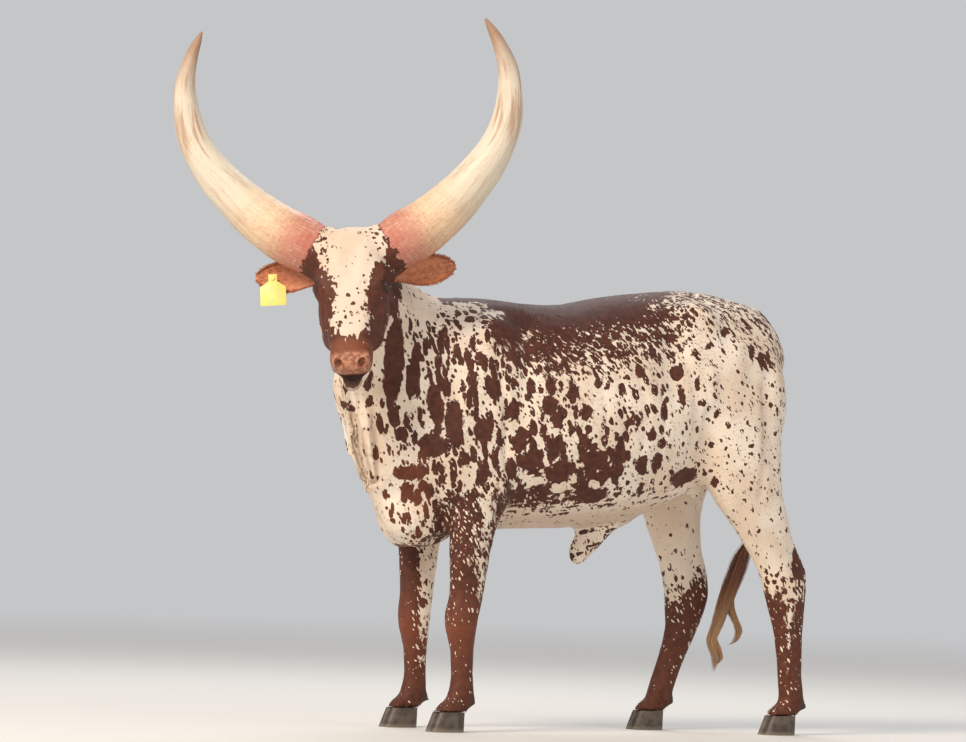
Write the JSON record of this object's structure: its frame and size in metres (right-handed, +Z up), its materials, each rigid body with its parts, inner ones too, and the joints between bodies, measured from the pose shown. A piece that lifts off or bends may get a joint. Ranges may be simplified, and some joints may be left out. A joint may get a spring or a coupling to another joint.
{
  "type": "ankole watusi bull model",
  "caption": "Life-size still model of a spotted long-horned young bull, standing square on its hooves with its head turned to its left and an ear tag.",
  "frame": {"origin": "middle of the animal's box on the floor, at the level of the soles", "axes": "+Z up to the horn tips, -X the way the body faces, -Y the animal's left side"},
  "size_m": [2.099, 0.684, 2.1268],
  "materials": {
    "coat": "short sleek hair, cream-white with mahogany spots",
    "horn": "pale horn, pink at the base and tan at the tip, satin",
    "eye": "wet, dark",
    "hoof": "dark horn, dull",
    "ear": "short red-brown hair, bare inside",
    "switch": "long soft hair, red-brown with fair ends",
    "tag": "yellow moulded plastic, bare"
  },
  "bodies": {
    "root": {"ear_left": "ear", "ear_right": "ear", "ear_tag": "tag", "eye_left": "eye", "eye_right": "eye", "fore_hoof_left_inner": "hoof", "fore_hoof_left_outer": "hoof", "fore_hoof_right_inner": "hoof", "fore_hoof_right_outer": "hoof", "fore_leg_left": "coat", "fore_leg_right": "coat", "head": "coat", "hind_hoof_left_inner": "hoof", "hind_hoof_left_outer": "hoof", "hind_hoof_right_inner": "hoof", "hind_hoof_right_outer": "hoof", "hind_leg_left": "coat", "hind_leg_right": "coat", "horn_left": "horn", "horn_right": "horn", "neck": "coat", "sheath": "coat", "tail": "coat", "tail_switch": "switch", "torso": "coat"}
  },
  "joints": []
}
